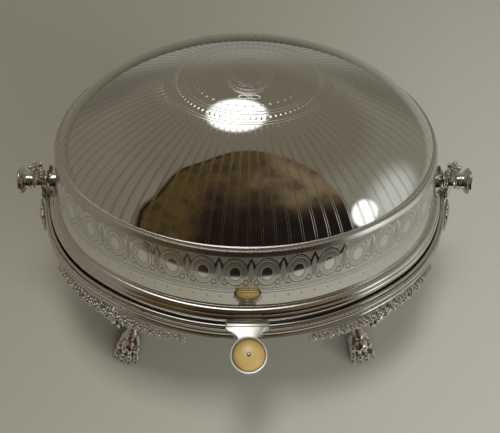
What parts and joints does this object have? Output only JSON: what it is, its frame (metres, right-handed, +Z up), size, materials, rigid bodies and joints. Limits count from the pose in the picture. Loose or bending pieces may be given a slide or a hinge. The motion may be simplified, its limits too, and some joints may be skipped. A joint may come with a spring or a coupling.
{
  "type": "breakfast dish",
  "caption": "Oval silver-plated breakfast dish with a roll-top cover that turns back into its bowl, on cast legs with paw feet.",
  "frame": {"origin": "on the table, under the middle of the oval", "axes": "+X along the pivot axis to the right-hand knob, +Y to the back, away from the thumbpiece, +Z up"},
  "size_m": [0.3422, 0.2686, 0.2365],
  "materials": {
    "silver_plate": "polished",
    "ivory_coloured": "satin"
  },
  "bodies": {
    "base": {"base_rim": "silver_plate", "bowl": "silver_plate", "bracket_right": "silver_plate", "bracket_left": "silver_plate", "pivot_pin_right": "silver_plate", "pivot_pin_left": "silver_plate", "leg_front_right": "silver_plate", "leg_front_left": "silver_plate", "leg_back_right": "silver_plate", "leg_back_left": "silver_plate", "inner_frame": "silver_plate", "liner": "silver_plate", "drainer": "silver_plate"},
    "cover": {"cover_shell": "silver_plate", "cover_edging": "silver_plate", "dome_fillet": "silver_plate", "bush_right": "silver_plate", "bush_left": "silver_plate", "thumb_plate": "silver_plate", "thumb_disc": "ivory_coloured", "thumb_pin": "silver_plate"}
  },
  "joints": [
    {"name": "cover_roll", "type": "hinge", "parent": "base", "child": "cover", "pos_m": [0, 0, 0.124], "axis": [-1, 0, 0], "range_deg": [0, 188]}
  ]
}
